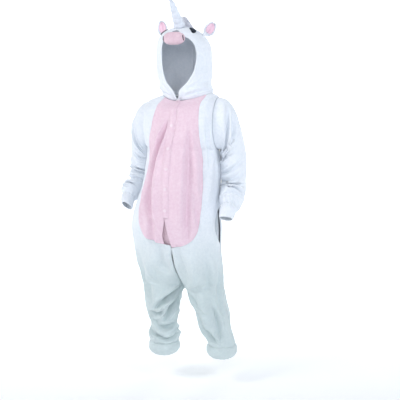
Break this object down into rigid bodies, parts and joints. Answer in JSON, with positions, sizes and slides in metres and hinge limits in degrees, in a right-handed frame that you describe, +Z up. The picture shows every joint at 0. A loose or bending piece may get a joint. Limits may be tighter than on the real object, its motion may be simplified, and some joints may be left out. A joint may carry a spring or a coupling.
{
  "type": "hooded unicorn onesie",
  "caption": "child's hooded plush unicorn onesie in its worn, hollow form: horn, ears, muzzle and mane on the hood, a buttoned pink belly panel, side pockets, and gathered sleeve and leg cuffs",
  "frame": {"origin": "middle of the neck opening, level with the tops of the shoulders", "axes": "+Z up the body, the wearer faces -Y, +X towards the wearer's left"},
  "size_m": [0.473, 0.2947, 1.301],
  "materials": {
    "white_plush": "soft short-pile plush fleece",
    "pink_plush": "soft short-pile plush fleece",
    "pocket_lining": "brushed lining knit",
    "muzzle_plush": "stuffed short-pile plush",
    "horn_fleece": "stuffed fleece",
    "mane_plush": "long-pile plush",
    "eye_felt": "pressed felt",
    "snap_buttons": "smooth moulded resin"
  },
  "bodies": {
    "root": {"front_left": "white_plush", "belly_left": "pink_plush", "back_left": "white_plush", "front_right": "white_plush", "belly_right": "pink_plush", "back_right": "white_plush", "pocket_left": "pocket_lining", "pocket_right": "pocket_lining", "leg_cuff_left": "white_plush", "leg_cuff_right": "white_plush", "sleeve_left": "white_plush", "sleeve_cuff_left": "white_plush", "sleeve_right": "white_plush", "sleeve_cuff_right": "white_plush", "hood_left": "white_plush", "hood_right": "white_plush", "muzzle": "muzzle_plush", "horn": "horn_fleece", "mane": "mane_plush", "ear_left": "white_plush", "ear_lining_left": "pink_plush", "ear_right": "white_plush", "ear_lining_right": "pink_plush", "eye_left": "eye_felt", "eye_right": "eye_felt", "placket": "pink_plush", "button_1": "snap_buttons", "button_2": "snap_buttons", "button_3": "snap_buttons", "button_4": "snap_buttons", "button_5": "snap_buttons", "button_6": "snap_buttons"}
  },
  "joints": []
}
